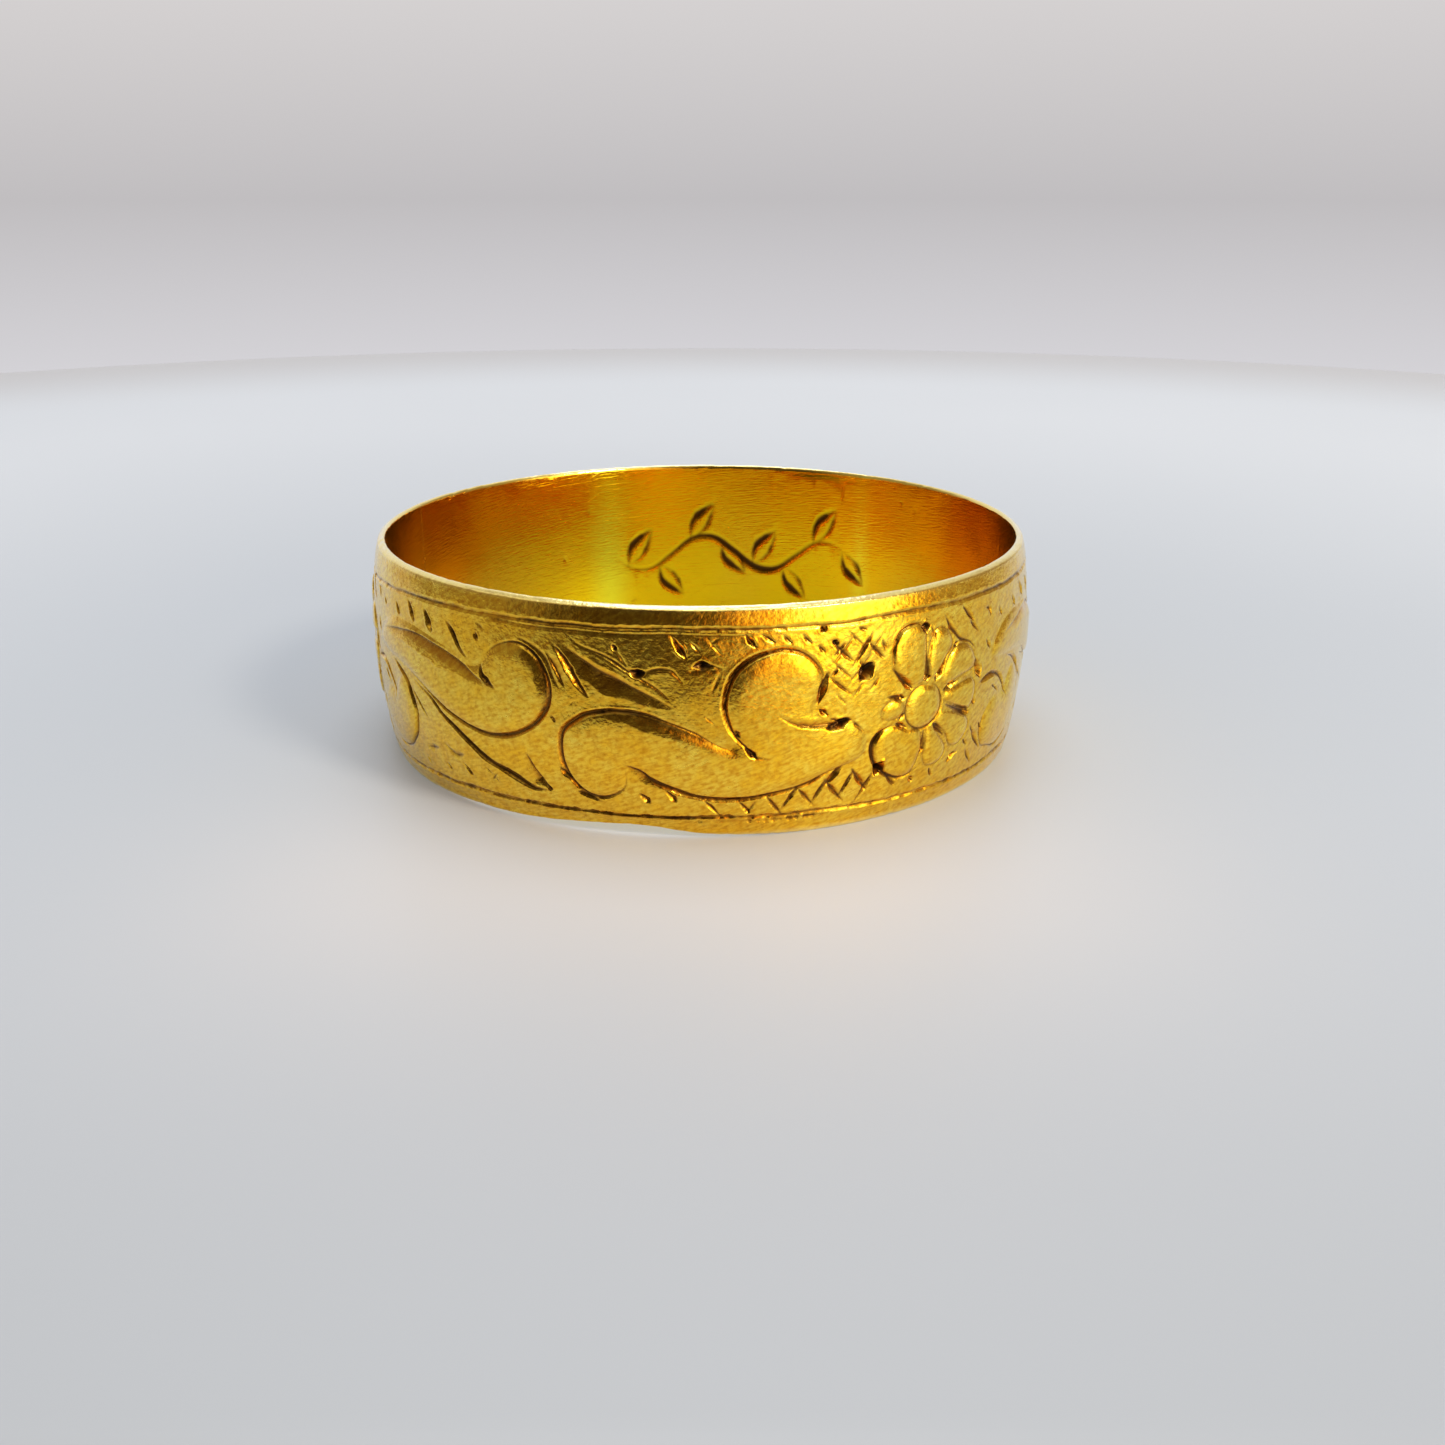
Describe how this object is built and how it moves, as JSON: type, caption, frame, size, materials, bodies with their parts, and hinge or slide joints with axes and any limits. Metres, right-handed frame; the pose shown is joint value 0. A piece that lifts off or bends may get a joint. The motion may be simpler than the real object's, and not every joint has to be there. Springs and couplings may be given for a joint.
{
  "type": "wedding band",
  "caption": "Wide engraved gold wedding band: a rolled strip of gold with a rounded face and plain bore, closed by a soldered joint.",
  "frame": {"origin": "centre of the lower edge, on the axis of the finger hole, where the band rests on a table", "axes": "+Z along the axis of the finger hole, -Y towards the front of the ornament, +X to the right"},
  "size_m": [0.0192, 0.0192, 0.006],
  "materials": {
    "gold": "worn satin, high-carat yellow gold",
    "gold_solder": "worn satin, gold solder"
  },
  "bodies": {
    "root": {"band_strip": "gold", "solder_seam": "gold_solder"}
  },
  "joints": []
}
